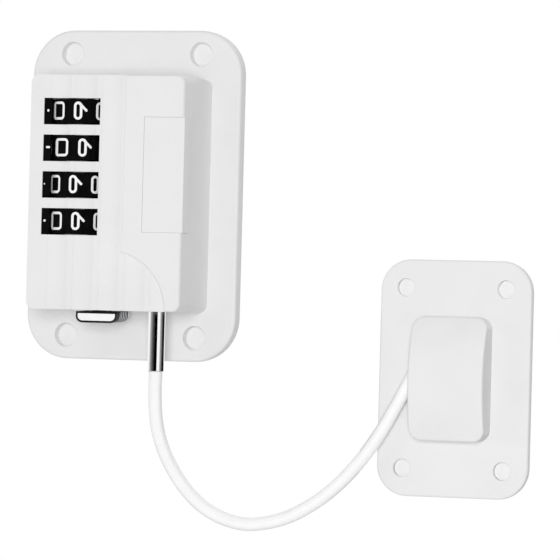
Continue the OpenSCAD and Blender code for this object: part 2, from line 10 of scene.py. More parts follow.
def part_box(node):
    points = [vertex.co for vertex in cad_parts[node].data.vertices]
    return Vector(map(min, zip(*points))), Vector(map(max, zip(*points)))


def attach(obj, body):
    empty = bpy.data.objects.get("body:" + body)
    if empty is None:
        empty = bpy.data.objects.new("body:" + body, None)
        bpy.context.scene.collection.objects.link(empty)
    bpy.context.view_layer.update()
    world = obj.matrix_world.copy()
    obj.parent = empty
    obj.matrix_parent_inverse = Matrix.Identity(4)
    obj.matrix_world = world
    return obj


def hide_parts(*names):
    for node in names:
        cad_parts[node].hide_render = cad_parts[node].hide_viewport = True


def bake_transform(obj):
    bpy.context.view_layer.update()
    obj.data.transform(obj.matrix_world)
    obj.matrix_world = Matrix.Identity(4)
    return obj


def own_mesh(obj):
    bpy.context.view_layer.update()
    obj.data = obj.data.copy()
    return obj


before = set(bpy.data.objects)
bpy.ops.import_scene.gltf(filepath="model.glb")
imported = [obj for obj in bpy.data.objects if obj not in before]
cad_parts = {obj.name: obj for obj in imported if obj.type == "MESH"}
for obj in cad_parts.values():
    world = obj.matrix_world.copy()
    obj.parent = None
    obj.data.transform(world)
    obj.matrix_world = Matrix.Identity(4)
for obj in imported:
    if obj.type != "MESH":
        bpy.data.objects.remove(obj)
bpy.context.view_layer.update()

# Camera. A long lens 1.3 m from the lock, 20 degrees round to its right and just below level.
# It is rolled a little, so the lock leans to the right in the picture.
picture_px, focal_px = 560, 4420
camera_turn, camera_tilt, camera_roll = (math.radians(a) for a in (20, -0.5, 1.5))
camera_aim, camera_away = Vector((0.03957, 0.01462, -0.02369)), 1.3
to_camera = Vector((math.sin(camera_turn) * math.cos(camera_tilt),
                    -math.cos(camera_turn) * math.cos(camera_tilt), math.sin(camera_tilt)))
to_right = Vector((math.cos(camera_turn), math.sin(camera_turn), 0))
camera_data = bpy.data.cameras.new("camera")
camera_data.sensor_width = 36
camera_data.lens = camera_data.sensor_width * focal_px / picture_px
camera = bpy.data.objects.new("camera", camera_data)
camera.matrix_world = (Matrix.Translation(camera_aim + camera_away * to_camera)
                       @ Matrix((to_right, to_camera.cross(to_right), to_camera)).transposed().to_4x4()
                       @ Matrix.Rotation(camera_roll, 4, "Z"))
bpy.context.collection.objects.link(camera)
bpy.context.scene.camera = camera
bpy.context.scene.view_settings.view_transform = "Standard"

# Cable. A thin steel rope in a glossy white coat, held by a crimp inside the anchor and by the plug's
# sleeve. It hangs in one springy loop between the two.
cable_d, cable_exit = 0.0039, (0.0883, -0.0051, -0.0495)
cable_steps, cable_rings = 9, 8
cable_knots = [Vector(p) for p in (
    (0.01300, -0.01560, -0.05140), (0.01300, -0.01560, -0.05840), (0.01340, -0.01530, -0.06490),
    (0.01480, -0.01490, -0.07140), (0.01790, -0.01431, -0.07840), (0.02280, -0.01362, -0.08541),
    (0.02850, -0.01284, -0.09051), (0.03521, -0.01186, -0.09361), (0.04241, -0.01087, -0.09452),
    (0.05151, -0.00970, -0.09253), (0.05941, -0.00852, -0.08833), (0.06642, -0.00743, -0.08274),
    (0.07242, -0.00655, -0.07614), (0.07792, -0.00586, -0.06844), (0.08314, -0.00510, -0.05921),
    (0.08783, -0.00510, -0.05038), (0.09253, -0.00510, -0.04155))]
cable_runs = [cable_knots[1] - cable_knots[0],
              *((after - before) / 2 for before, after in zip(cable_knots, cable_knots[2:])),
              cable_knots[-1] - cable_knots[-2]]
cable_line = cable_knots[:1]
for (place, run), (next_place, next_run) in pairwise(zip(cable_knots, cable_runs)):
    bend = interpolate_bezier(place, place + run / 3, next_place - next_run / 3, next_place, cable_steps)
    cable_line += bend[1:]


def tube_mesh(name, lines, radius, rings):
    """A mesh of round tubes along lines; a line is (closed, its points, their thickness from 0 to 1)."""
    curve = bpy.data.curves.new(name, "CURVE")
    curve.dimensions = "3D"
    curve.twist_mode = "MINIMUM"
    curve.bevel_depth = radius
    curve.bevel_resolution = rings
    curve.use_fill_caps = True
    for closed, points, thickness in lines:
        spline = curve.splines.new("POLY")
        spline.use_cyclic_u = closed
        spline.points.add(len(points) - 1)
        for knot, place, share in zip(spline.points, points, thickness):
            knot.co = (*place, 1)
            knot.radius = share
    holder = bpy.data.objects.new(name, curve)
    mesh = bpy.data.meshes.new_from_object(holder)
    bpy.data.objects.remove(holder)
    bpy.data.curves.remove(curve)
    return mesh


def smooth_over(mesh, angle=35):
    """Shades a mesh smooth, apart from edges that turn by more than an angle in degrees."""
    mesh.polygons.foreach_set("use_smooth", [True] * len(mesh.polygons))
    mesh.set_sharp_from_angle(angle=math.radians(angle))


def add_piece(name, mesh, *finishes):
    """Puts a mesh into the scene as a piece with its finishes."""
    mesh.name = name
    for material in finishes:
        mesh.materials.append(material)
    piece = bpy.data.objects.new(name, mesh)
    bpy.context.collection.objects.link(piece)
    return piece


def new_finish(name, **fixed):
    """A material whose shader has fixed values, given by the shader's socket names."""
    material = bpy.data.materials.new(name)
    material.use_nodes = True
    shader = material.node_tree.nodes["Principled BSDF"]
    for socket, value in fixed.items():
        shader.inputs[socket.replace("_", " ")].default_value = value
    return material


def noise_on(material, grain, stretch=(1, 1, 1), detail=2):
    """Noise in a piece's own coordinates, with grains of a size in metres, drawn out along an axis."""
    nodes, links = material.node_tree.nodes, material.node_tree.links
    noise = nodes.new("ShaderNodeTexNoise")
    noise.inputs["Scale"].default_value = 1 / grain
    noise.inputs["Detail"].default_value = detail
    mapping = nodes.new("ShaderNodeMapping")
    mapping.inputs["Scale"].default_value = stretch
    links.new(nodes.new("ShaderNodeTexCoord").outputs["Object"], mapping.inputs["Vector"])
    links.new(mapping.outputs["Vector"], noise.inputs["Vector"])
    return noise.outputs["Fac"]


# Nearly all of the noise lies between these values.
noise_low, noise_high = 0.3, 0.7


def tint(material, pattern, dark, light):
    """Base colour that follows a pattern from a dark tone to a light one."""
    nodes, links = material.node_tree.nodes, material.node_tree.links
    ramp = nodes.new("ShaderNodeValToRGB")
    for stop, place, tone in zip(ramp.color_ramp.elements, (noise_low, noise_high), (dark, light)):
        stop.position = place
        stop.color = (*tone, 1)
    links.new(pattern, ramp.inputs["Fac"])
    links.new(ramp.outputs["Color"], nodes["Principled BSDF"].inputs["Base Color"])


def gloss(material, pattern, low, high):
    """Roughness that follows a pattern between two values."""
    nodes, links = material.node_tree.nodes, material.node_tree.links
    span = nodes.new("ShaderNodeMapRange")
    for socket, value in (("From Min", noise_low), ("From Max", noise_high),
                          ("To Min", low), ("To Max", high)):
        span.inputs[socket].default_value = value
    links.new(pattern, span.inputs["Value"])
    links.new(span.outputs["Result"], nodes["Principled BSDF"].inputs["Roughness"])


def relief(material, pattern, height):
    """Fine surface relief that follows a pattern, with a height in metres."""
    nodes, links = material.node_tree.nodes, material.node_tree.links
    bump = nodes.new("ShaderNodeBump")
    bump.inputs["Distance"].default_value = height
    links.new(pattern, bump.inputs["Height"])
    links.new(bump.outputs["Normal"], nodes["Principled BSDF"].inputs["Normal"])


cable_coat = new_finish("cable_coat", Specular_IOR_Level=0.5)
tint(cable_coat, noise_on(cable_coat, 0.004), (0.97, 0.97, 0.97), (0.99, 0.99, 0.99))
gloss(cable_coat, noise_on(cable_coat, 0.0015), 0.16, 0.24)
relief(cable_coat, noise_on(cable_coat, 0.0008), 2e-6)

cable_tube = [(False, cable_line, [1] * len(cable_line))]
cable = add_piece("coated_cable", tube_mesh("coated_cable", cable_tube, cable_d / 2, cable_rings), cable_coat)
smooth_over(cable.data, 60)
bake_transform(cable)
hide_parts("cable")

# Plug. A turned steel pin with a groove for the latch, pressed into a bright chromed sleeve
# that is crimped on the cable's end. The sleeve stays outside the case.
chrome = new_finish("chrome", Metallic=1.0)
tint(chrome, noise_on(chrome, 0.003), (0.90, 0.90, 0.91), (0.94, 0.94, 0.95))
gloss(chrome, noise_on(chrome, 0.0012), 0.05, 0.10)
relief(chrome, noise_on(chrome, 0.0006), 4e-7)

steel = new_finish("steel", Metallic=1.0)
tint(steel, noise_on(steel, 0.002), (0.50, 0.51, 0.53), (0.58, 0.59, 0.61))
gloss(steel, noise_on(steel, 0.0006, stretch=(1, 1, 0.15)), 0.26, 0.42)
relief(steel, noise_on(steel, 0.0003, stretch=(1, 1, 0.1)), 1e-6)


def dress(finish, *nodes):
    """Gives a finish to pieces that keep their shape from the frame."""
    for node in nodes:
        bpy.data.objects[node].material_slots[0].material = finish


def turned(profile, centre):
    """A turned shape: a profile of (radius, height) points spun round an upright axis."""
    bm = bmesh.new()
    corners = [bm.verts.new((centre.x + r, centre.y, z)) for r, z in profile]
    edges = [bm.edges.new(pair) for pair in pairwise(corners)]
    bmesh.ops.spin(bm, geom=corners + edges, cent=centre, axis=(0, 0, 1), angle=2 * math.pi,
                   steps=64, use_merge=True)
    bmesh.ops.remove_doubles(bm, verts=bm.verts, dist=1e-6)
    bmesh.ops.recalc_face_normals(bm, faces=bm.faces)
    return bm


def even_faces(piece):
    """Shades a piece's broad faces evenly, up to their rounded edges."""
    even = piece.modifiers.new("even", "WEIGHTED_NORMAL")
    even.keep_sharp = True


def finished(bm, name, angle=35):
    """Turns a bmesh into a smoothly shaded mesh."""
    mesh = bpy.data.meshes.new(name)
    bm.to_mesh(mesh)
    bm.free()
    smooth_over(mesh, angle)
    return mesh


plug_axis = Vector((0.013, -0.0156, 0))
sleeve_low, sleeve_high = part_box("plug_ferrule")
sleeve_r, sleeve_round = (sleeve_high.x - sleeve_low.x) / 2, 0.00035
sleeve_turn = [(math.sin(a) * sleeve_round, (1 - math.cos(a)) * sleeve_round)
               for a in (math.radians(d) for d in (0, 22.5, 45, 67.5, 90))]
sleeve_profile = ([(0, sleeve_low.z)]
                  + [(sleeve_r - sleeve_round + out, sleeve_low.z + up) for out, up in sleeve_turn]
                  + [(sleeve_r, sleeve_high.z), (0, sleeve_high.z)])
sleeve_bm = turned(sleeve_profile, (sleeve_low + sleeve_high) / 2)
sleeve = add_piece("plug_sleeve", finished(sleeve_bm, "plug_sleeve"), chrome)
even_faces(sleeve)
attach(sleeve, "plug")
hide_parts("plug_ferrule")
dress(steel, "plug_pin")

# Studio. A pale floor below the lock, a soft lamp in front, one at its left and one behind, and a white
# surrounding that the camera and the chrome see. Dark cards round the plug, which only reflections
# show, give the chrome its bands; the last one also greys the right side of the anchor's cap.
floor_r, floor_middle = 0.30, (0.04, 0, -0.14)
floor_bm = bmesh.new()
bmesh.ops.create_circle(floor_bm, cap_ends=True, segments=96, radius=floor_r,
                        matrix=Matrix.Translation(floor_middle))
floor_paint = new_finish("floor_paint", Roughness=0.9)
tint(floor_paint, noise_on(floor_paint, 0.05), (0.80, 0.80, 0.80), (0.83, 0.83, 0.83))
floor = add_piece("floor", finished(floor_bm, "floor"), floor_paint)

world = bpy.data.worlds.new("studio")
bpy.context.scene.world = world
world.use_nodes = True
sky, sky_links = world.node_tree.nodes, world.node_tree.links
around = sky["Background"]
around.inputs["Color"].default_value = (1, 1, 1, 1)
around.inputs["Strength"].default_value = 0.43
seen = sky.new("ShaderNodeBackground")
seen.inputs["Color"].default_value = (1, 1, 1, 1)
seen.inputs["Strength"].default_value = 1
rays = sky.new("ShaderNodeLightPath")
either = sky.new("ShaderNodeMath")
either.operation = "MAXIMUM"
any_of = sky.new("ShaderNodeMath")
any_of.operation = "MAXIMUM"
pick = sky.new("ShaderNodeMixShader")
sky_links.new(rays.outputs["Is Camera Ray"], either.inputs[0])
sky_links.new(rays.outputs["Is Glossy Ray"], either.inputs[1])
sky_links.new(either.outputs[0], any_of.inputs[0])
sky_links.new(rays.outputs["Is Transmission Ray"], any_of.inputs[1])
sky_links.new(any_of.outputs[0], pick.inputs["Fac"])
sky_links.new(around.outputs[0], pick.inputs[1])
sky_links.new(seen.outputs[0], pick.inputs[2])
sky_links.new(pick.outputs[0], sky["World Output"].inputs["Surface"])

lamp_aim, lamp_away = Vector((0.05, 0, -0.05)), 1.5
for lamp_name, lamp_from, lamp_side, lamp_watts in (
        ("key_lamp", (0.27, -1.00, 0.05), 0.5, 11.5),
        ("left_lamp", (-0.90, -0.60, 0.00), 0.6, 1.7),
        ("back_lamp", (0.10, 0.90, 1.00), 0.8, 7.5)):
    lamp_data = bpy.data.lights.new(lamp_name, "AREA")
    lamp_data.shape = "SQUARE"
    lamp_data.size = lamp_side
    lamp_data.energy = lamp_watts
    lamp = bpy.data.objects.new(lamp_name, lamp_data)
    lamp_dir = Vector(lamp_from).normalized()
    lamp.matrix_world = (Matrix.Translation(lamp_aim + lamp_away * lamp_dir)
                         @ lamp_dir.to_track_quat("Z", "Y").to_matrix().to_4x4())
    lamp.visible_glossy = False
    bpy.context.collection.objects.link(lamp)


def upright_sheet(place, width, height):
    """One upright rectangle that faces the front, at a place given as a matrix."""
    bm = bmesh.new()
    bmesh.ops.create_grid(bm, x_segments=1, y_segments=1, size=0.5,
                          matrix=place @ Matrix.Rotation(math.radians(90), 4, "X")
                          @ Matrix.Diagonal((width, height, 1, 1)))
    return bm


# A card spans an angle round the plug, in degrees from the front towards the right.
card_low, card_high = -0.100, -0.033
for card_name, card_from, card_to, card_away, card_tone in (
        ("card_1", -79, -63, 0.06, 0.85), ("card_2", -63, -47, 0.06, 0.52),
        ("card_3", -47, -33, 0.06, 0.29), ("card_4", -33, -19, 0.06, 0.13),
        ("card_5", -19, -6, 0.06, 0.05), ("card_6", -6, 30, 0.06, 0.0),
        ("card_7", 67, 79, 0.06, 0.73), ("card_8", 79, 97, 0.06, 0.44),
        ("card_9", 97, 117, 0.06, 0.06), ("card_10", 117, 150, 0.126, 0.0)):
    card_finish = new_finish(card_name, Base_Color=(card_tone, card_tone, card_tone, 1), Roughness=1.0,
                             Specular_IOR_Level=0.0)
    card_turn = math.radians((card_from + card_to) / 2)
    card_half = math.radians((card_to - card_from) / 2)
    card_place = (Matrix.Translation(plug_axis) @ Matrix.Rotation(card_turn, 4, "Z")
                  @ Matrix.Translation((0, -card_away, (card_low + card_high) / 2)))
    card_bm = upright_sheet(card_place, 2 * card_away * math.tan(card_half), card_high - card_low)
    card = add_piece(card_name, finished(card_bm, card_name), card_finish)
    card.visible_camera = card.visible_diffuse = card.visible_shadow = card.visible_transmission = False

# Foam backing of the lock. A sheet of white foam tape, sticky on both faces, cut a little smaller
# than the base plate. It holds the lock to the door and shows through the plate's holes.
lock_foam_corner = 0.01285
foam = new_finish("foam", Roughness=0.9)
tint(foam, noise_on(foam, 0.0006), (0.86, 0.86, 0.86), (0.89, 0.89, 0.89))
relief(foam, noise_on(foam, 0.0004, detail=4), 3e-5)


def draw_out(bm, way):
    """Draws a flat shape out into a solid, and returns what was drawn."""
    drawn = bmesh.ops.extrude_face_region(bm, geom=bm.faces[:])["geom"]
    bmesh.ops.translate(bm, vec=way, verts=[g for g in drawn if isinstance(g, bmesh.types.BMVert)])
    return drawn


def rounded_sheet(low, high, corner, rim=0.0, steps=16):
    """A flat slab between two corners of its box, with round corners and a rounded front rim."""
    middle, size = (low + high) / 2, high - low
    bm = upright_sheet(Matrix.Translation((middle.x, high.y, middle.z)), size.x, size.z)
    bmesh.ops.bevel(bm, geom=bm.verts[:], offset=corner, offset_type="OFFSET", segments=steps,
                    profile=0.5, affect="VERTICES", material=-1)
    front = draw_out(bm, (0, low.y - high.y, 0))
    if rim:
        bmesh.ops.bevel(bm, geom=[g for g in front if isinstance(g, bmesh.types.BMEdge)], offset=rim,
                        offset_type="OFFSET", segments=6, profile=0.5, affect="EDGES", material=-1)
    bmesh.ops.recalc_face_normals(bm, faces=bm.faces)
    return bm


lock_foam_bm = rounded_sheet(*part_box("lock_pad"), lock_foam_corner)
lock_foam = add_piece("lock_foam", finished(lock_foam_bm, "lock_foam"), foam)
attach(lock_foam, "lock")
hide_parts("lock_pad")

# Base plate of the lock. A moulded white plate with round corners, a soft front rim and four
# holes for screws. The case is screwed to it from behind.
plate_corner, plate_rim, plate_eased = 0.013, 0.0009, 0.00015
plate_holes_apart, plate_hole_r = (0.0405, 0.0828), 0.0035
# A cutting shape stands out this far past what it cuts.
clear = 0.001
white_plastic = new_finish("white_plastic", Specular_IOR_Level=0.4)
tint(white_plastic, noise_on(white_plastic, 0.012), (0.82, 0.82, 0.82), (0.84, 0.84, 0.84))
gloss(white_plastic, noise_on(white_plastic, 0.004), 0.32, 0.42)
relief(white_plastic, noise_on(white_plastic, 0.0003), 3e-6)


def rod_mesh(start, end, radius, segments=64):
    """A plain round bar between two places."""
    bm = bmesh.new()
    way = Vector(end) - Vector(start)
    bmesh.ops.create_cone(bm, cap_ends=True, segments=segments, radius1=radius, radius2=radius,
                          depth=way.length, matrix=Matrix.Translation((Vector(start) + Vector(end)) / 2)
                          @ way.to_track_quat("Z", "Y").to_matrix().to_4x4())
    return finished(bm, "rod")


def carve(piece, *shapes, how="DIFFERENCE"):
    """Cuts shapes out of a piece, or keeps what they share."""
    cutters = [add_piece(f"cutter_{k}", shape) for k, shape in enumerate(shapes)]
    for cutter in cutters:
        cut = piece.modifiers.new("cut", "BOOLEAN")
        cut.object, cut.operation, cut.solver = cutter, how, "EXACT"
    whole = piece.data
    piece.data = bpy.data.meshes.new_from_object(
        piece.evaluated_get(bpy.context.evaluated_depsgraph_get()))
    piece.modifiers.clear()
    bpy.data.meshes.remove(whole)
    for cutter in cutters:
        bpy.data.meshes.remove(cutter.data)
    smooth_over(piece.data)


def ease_edges(piece, width, angle=40):
    """Rounds the sharp edges of a moulded piece a little, and keeps its flat faces even."""
    bevel = piece.modifiers.new("eased", "BEVEL")
    bevel.width, bevel.segments, bevel.limit_method = width, 3, "ANGLE"
    bevel.angle_limit = math.radians(angle)
    bevel.use_clamp_overlap = True
    even_faces(piece)


def holes_through(low, high, apart, radius):
    """Four round bars through a plate's corners, to cut its screw holes with."""
    middle = (low + high) / 2
    return [rod_mesh((middle.x + s * apart[0] / 2, low.y - clear, middle.z + t * apart[1] / 2),
                     (middle.x + s * apart[0] / 2, high.y + clear, middle.z + t * apart[1] / 2), radius)
            for s in (-1, 1) for t in (-1, 1)]


plate_low, plate_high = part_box("lock_plate")
plate_bm = rounded_sheet(plate_low, plate_high, plate_corner, plate_rim)
base_plate = add_piece("base_plate", finished(plate_bm, "base_plate"), white_plastic)
carve(base_plate, *holes_through(plate_low, plate_high, plate_holes_apart, plate_hole_r))
ease_edges(base_plate, plate_eased)
# Plates, foam, tab and cap leave no image in the chrome, so that its bands stay even.
base_plate.visible_glossy = lock_foam.visible_glossy = False
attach(base_plate, "lock")
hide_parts("lock_plate")

# Dial cradle. A black moulded frame on the base plate that holds the dials' steel shaft, with
# washers between the dials and a leaf spring behind them that makes them click.
black_plastic = new_finish("black_plastic", Specular_IOR_Level=0.025)
tint(black_plastic, noise_on(black_plastic, 0.003), (0.002, 0.002, 0.002), (0.004, 0.004, 0.004))
gloss(black_plastic, noise_on(black_plastic, 0.001), 0.42, 0.55)
relief(black_plastic, noise_on(black_plastic, 0.0003), 4e-6)
dress(black_plastic, "dial_cradle")
dress(steel, "dial_shaft", "spacer_washers", "detent_spring")

# Number wheels. Four black moulded wheels, each on a steel code ring with one gate for the latch,
# with a shallow finger groove between every two numbers. The numbers are filled with white paint.
number_paint = new_finish("number_paint", Specular_IOR_Level=0.5)
tint(number_paint, noise_on(number_paint, 0.001), (0.94, 0.94, 0.94), (0.97, 0.97, 0.97))
gloss(number_paint, noise_on(number_paint, 0.0005), 0.45, 0.60)
relief(number_paint, noise_on(number_paint, 0.0002), 4e-6)

stroke_w, stroke_step, paint_flat, number_up = 0.00072, 0.0003, 0.12, 0.0002
mm_across, mm_up, corner_pull = 0.001, 0.00093, 0.55
# The numbers from 0 to 9. A stroke is (closed, radius of its corners, its corners) in millimetres.
numbers_mm = [
    [(True, 0.8, ((-2.65, 2.44), (1.6, 2.44), (1.6, -2.44), (-2.65, -2.44))),
     (False, 0, ((-2.4, 1.9), (-2.4, -1.9))),
     (False, 0, ((-2.15, 1.9), (-2.15, -1.9)))],
    [(True, 0.88, ((-0.64, 2.44), (1.14, 2.44), (1.14, -2.44), (-0.64, -2.44))),
     (False, 0, ((0.65, 2.25), (2.65, 0.1)))],
    [(True, 0.85, ((-0.1, 2.44), (1.65, 2.44), (1.65, -2.44), (-0.1, -2.44))),
     (False, 0, ((1.0, -2.35), (2.9, -2.35)))],
    [(False, 0.85, ((-1.2, 2.44), (1.1, 2.44), (1.1, -2.44), (-1.2, -2.44))),
     (False, 0, ((-0.5, 0), (1.1, 0)))],
    [(False, 0.4, ((-1.2, 2.44), (-1.2, -0.7), (1.3, -0.7))),
     (False, 0, ((0.6, 0.9), (0.6, -2.44)))],
    [(False, 0.4, ((1.1, 2.44), (-1.1, 2.44), (-1.1, 0.3))),
     (False, 0.85, ((-1.1, 0.3), (1.1, 0.3), (1.1, -2.44), (-1.2, -2.44)))],
    [(True, 0.85, ((-1.1, 0.3), (1.1, 0.3), (1.1, -2.44), (-1.1, -2.44))),
     (False, 0.85, ((1.0, 2.44), (-1.1, 2.44), (-1.1, -1.2)))],
    [(False, 0.4, ((-1.2, 2.44), (1.2, 2.44), (-0.2, -2.44)))],
    [(True, 0.8, ((-0.95, 2.44), (0.95, 2.44), (0.95, 0.15), (-0.95, 0.15))),
     (True, 0.8, ((-1.1, 0.15), (1.1, 0.15), (1.1, -2.44), (-1.1, -2.44)))],
    [(True, 0.85, ((-2.1, 2.44), (0, 2.44), (0, -0.3), (-2.1, -0.3))),
     (False, 0.85, ((0, 1.2), (0, -2.44), (-2, -2.44)))]]


def number_line(closed, radius, corners, across):
    """A stroke of a number with its corners and ends rounded, set across a flat strip of numbers."""
    points = [Vector((across + mm_across * x, mm_up * y + number_up, 0)) for x, y in corners]
    ring = zip(points[-1:] + points[:-1], points, points[1:] + points[:1])
    line = []
    for before, corner, after in ring if closed else zip(points, points[1:], points[2:]):
        start = corner + (before - corner).normalized() * mm_across * radius
        end = corner + (after - corner).normalized() * mm_across * radius
        line += interpolate_bezier(start, start.lerp(corner, corner_pull),
                                   end.lerp(corner, corner_pull), end, 6)
    line = [*line, line[0]] if closed else [points[0], *line, points[-1]]
    fine_line = []
    for here, there in pairwise(line):
        run = (there - here).length
        if run > 1e-7:
            fine_line += interpolate_bezier(here, here, there, there, 2 + int(run / stroke_step))[:-1]
    if closed:
        return closed, fine_line, [1] * len(fine_line)
    fine_line.append(line[-1])
    tips = [(math.sin(math.radians(d)), math.cos(math.radians(d))) for d in (85, 60, 30)]
    first, last = (fine_line[0] - fine_line[1]).normalized(), (fine_line[-1] - fine_line[-2]).normalized()
    return (closed, [*(fine_line[0] + first * out * stroke_w / 2 for out, _ in tips), *fine_line,
                     *(fine_line[-1] + last * out * stroke_w / 2 for out, _ in reversed(tips))],
            [*(share for _, share in tips), *[1] * len(fine_line), *(share for _, share in reversed(tips))])


wheel_r, wheel_rim, wheel_bore, number_step = 0.0096, 0.0004, 0.0055, math.radians(36)
groove_half, groove_deep = 0.00067, 0.0003
# How far each wheel is turned, in degrees: dials set by hand don't line up exactly.
wheel_turns = (1.2, 10.5, -4.5, 1.5)
first_number = math.radians(-117)
for n, wheel_turn in enumerate(wheel_turns, 1):
    wheel_low, wheel_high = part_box(f"number_wheel_{n}")
    middle, turn = (wheel_low + wheel_high) / 2, math.radians(wheel_turn)
    wheel_bm = bmesh.new()
    bmesh.ops.create_circle(wheel_bm, cap_ends=True, segments=360, radius=wheel_r)
    for corner in wheel_bm.verts:
        past = (math.atan2(corner.co.y, corner.co.x) - turn - first_number) % number_step
        aside = (past - number_step / 2) * wheel_r
        corner.co *= 1 - groove_deep / wheel_r * max(0, 1 - (aside / groove_half) ** 2)
    bmesh.ops.translate(wheel_bm, vec=(middle.x, middle.y, wheel_low.z), verts=wheel_bm.verts)
    draw_out(wheel_bm, (0, 0, wheel_high.z - wheel_low.z))
    bmesh.ops.recalc_face_normals(wheel_bm, faces=wheel_bm.faces)
    rims = [edge for face in wheel_bm.faces if len(face.verts) > 4 for edge in face.edges]
    bmesh.ops.bevel(wheel_bm, geom=rims, offset=wheel_rim, offset_type="OFFSET", segments=3, profile=0.5,
                    affect="EDGES", material=-1)
    wheel = add_piece(f"dial_wheel_{n}", finished(wheel_bm, "wheel"), black_plastic)
    carve(wheel, rod_mesh((middle.x, middle.y, wheel_low.z - clear),
                          (middle.x, middle.y, wheel_high.z + clear), wheel_bore))
    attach(wheel, f"dial_{n}")
    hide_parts(f"number_wheel_{n}")

    strokes = [number_line(*stroke, k * number_step * wheel_r)
               for k, number in enumerate(numbers_mm) for stroke in number]
    strip = tube_mesh("numbers", strokes, stroke_w / 2, 3)
    for corner in strip.vertices:
        round_by = first_number + turn + corner.co.x / wheel_r
        out = wheel_r + corner.co.z * paint_flat
        corner.co = middle + Vector((out * math.cos(round_by), out * math.sin(round_by), corner.co.y))
    numbers = add_piece(f"dial_numbers_{n}", strip, number_paint)
    smooth_over(numbers.data, 60)
    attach(numbers, f"dial_{n}")
    dress(steel, f"code_ring_{n}")

# Reading marks. Small white paint marks on the cradle's black strip at the left of each window,
# which show where a dial is read.
window_w, window_h, strip_front = 0.0176, 0.0077, -0.02605
window_left = sum(corner.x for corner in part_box("number_wheel_1")) / 2 - window_w / 2
window_z = [sum(corner.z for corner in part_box(f"number_wheel_{n}")) / 2 for n in range(1, 5)]
mark_proud, mark_sunk, mark_round = 0.00004, 0.00002, 0.499
for n, (mark_from, mark_to, mark_h) in enumerate(
        ((0.0009, 0.0016, 0.0007), (0.0008, 0.0021, 0.0006), (0.0004, 0.0008, 0.0004),
         (0.0006, 0.0013, 0.0007)), 1):
    mark_z = window_z[n - 1] + number_up
    mark_bm = rounded_sheet(
        Vector((window_left + mark_from, strip_front - mark_proud, mark_z - mark_h / 2)),
        Vector((window_left + mark_to, strip_front + mark_sunk, mark_z + mark_h / 2)),
        mark_h * mark_round, steps=8)
    mark = add_piece(f"reading_mark_{n}", finished(mark_bm, "mark"), number_paint)
    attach(mark, "lock")

# Latch. A steel slider with four tongues that a coil spring pushes open, and a chromed thumb tab
# on its foot below the case. Its face has a border painted dark as the painted reflection of its chrome edge,
# and its side ribs have painted shade in the grooves between them.
dress(steel, "latch_slider")
coil_low, coil_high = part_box("latch_spring")
coil_middle, coil_length = (coil_low + coil_high) / 2, coil_high.x - coil_low.x
coil_wire, coil_turns, coil_steps, latch_travel = 0.00036, 3.5, 84, 0.0024
coil_r = (coil_high.z - coil_low.z - coil_wire) / 2
coil_line = []
for k in range(coil_steps + 1):
    coil_turn = 2 * math.pi * coil_turns * k / coil_steps
    coil_line.append(Vector((coil_low.x + coil_wire / 2 + (coil_length - coil_wire) * k / coil_steps,
                             coil_middle.y + coil_r * math.cos(coil_turn),
                             coil_middle.z + coil_r * math.sin(coil_turn))))
coil_tube = [(False, coil_line, [1] * len(coil_line))]
coil = add_piece("latch_coil", tube_mesh("latch_coil", coil_tube, coil_wire / 2, 3), steel)
smooth_over(coil.data, 60)
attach(coil, "lock")
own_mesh(coil)
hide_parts("latch_spring")
# Painted shade and dark reflection: a near-black finish for the tab's face border, the grooves and shoulders
# between its ribs, and its post. It stands in for the dark that chrome shows there.
painted_dark_shade_and_reflection = new_finish("painted_dark_shade_and_reflection", Specular_IOR_Level=0.3)
tint(painted_dark_shade_and_reflection, noise_on(painted_dark_shade_and_reflection, 0.001), (0.004, 0.004, 0.004), (0.010, 0.010, 0.010))
gloss(painted_dark_shade_and_reflection, noise_on(painted_dark_shade_and_reflection, 0.0005), 0.4, 0.55)
relief(painted_dark_shade_and_reflection, noise_on(painted_dark_shade_and_reflection, 0.0002), 2e-6)


def block_mesh(low, high):
    """A plain block between two corners."""
    bm = bmesh.new()
    low, high = Vector(low), Vector(high)
    bmesh.ops.create_cube(bm, size=1, matrix=Matrix.Translation((low + high) / 2)
                          @ Matrix.Diagonal((*(high - low), 1)))
    return finished(bm, "block")


tab_low, tab_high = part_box("release_tab")
tab_gap, tab_corner, tab_border, tab_draft = 0.00012, 0.0022, 0.0006, 0.2
tab_layers, tab_front, tab_groove, tab_lean = 13, 0.0012, 0.0003, math.tan(math.radians(4))
tab_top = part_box("front_cover")[0].z - tab_gap
tab_layer = (tab_high.y - tab_low.y - tab_front) / tab_layers
tab_middle = Vector(((tab_low.x + tab_high.x) / 2, 0, (tab_low.z + tab_top) / 2))
tab_size = Vector((tab_high.x - tab_low.x, 1, tab_top - tab_low.z))
tab_bm = upright_sheet(Matrix.Translation((tab_middle.x, tab_high.y, tab_middle.z)), tab_size.x, tab_size.z)
bmesh.ops.bevel(tab_bm, geom=[v for v in tab_bm.verts if v.co.z < tab_middle.z], offset=tab_corner,
                offset_type="OFFSET", segments=8, profile=0.5, affect="VERTICES", material=-1)
front = tab_bm.faces[:]
for layer in range(tab_layers):
    steps = [(0, -tab_groove if layer % 2 else tab_groove)] if layer else []
    for forward, outward in (*steps, (tab_layer, 0)):
        front = bmesh.ops.extrude_face_region(tab_bm, geom=front)["geom"]
        for corner in (g for g in front if isinstance(g, bmesh.types.BMVert)):
            aside = corner.co - tab_middle
            corner.co += Vector((2 * outward * aside.x / tab_size.x, -forward,
                                 2 * outward * aside.z / tab_size.z))
        front = [g for g in front if isinstance(g, bmesh.types.BMFace)]
for corner in front[0].verts:
    corner.co.y = tab_low.y + (corner.co.z - tab_low.z) * tab_lean
tab_bm.normal_update()
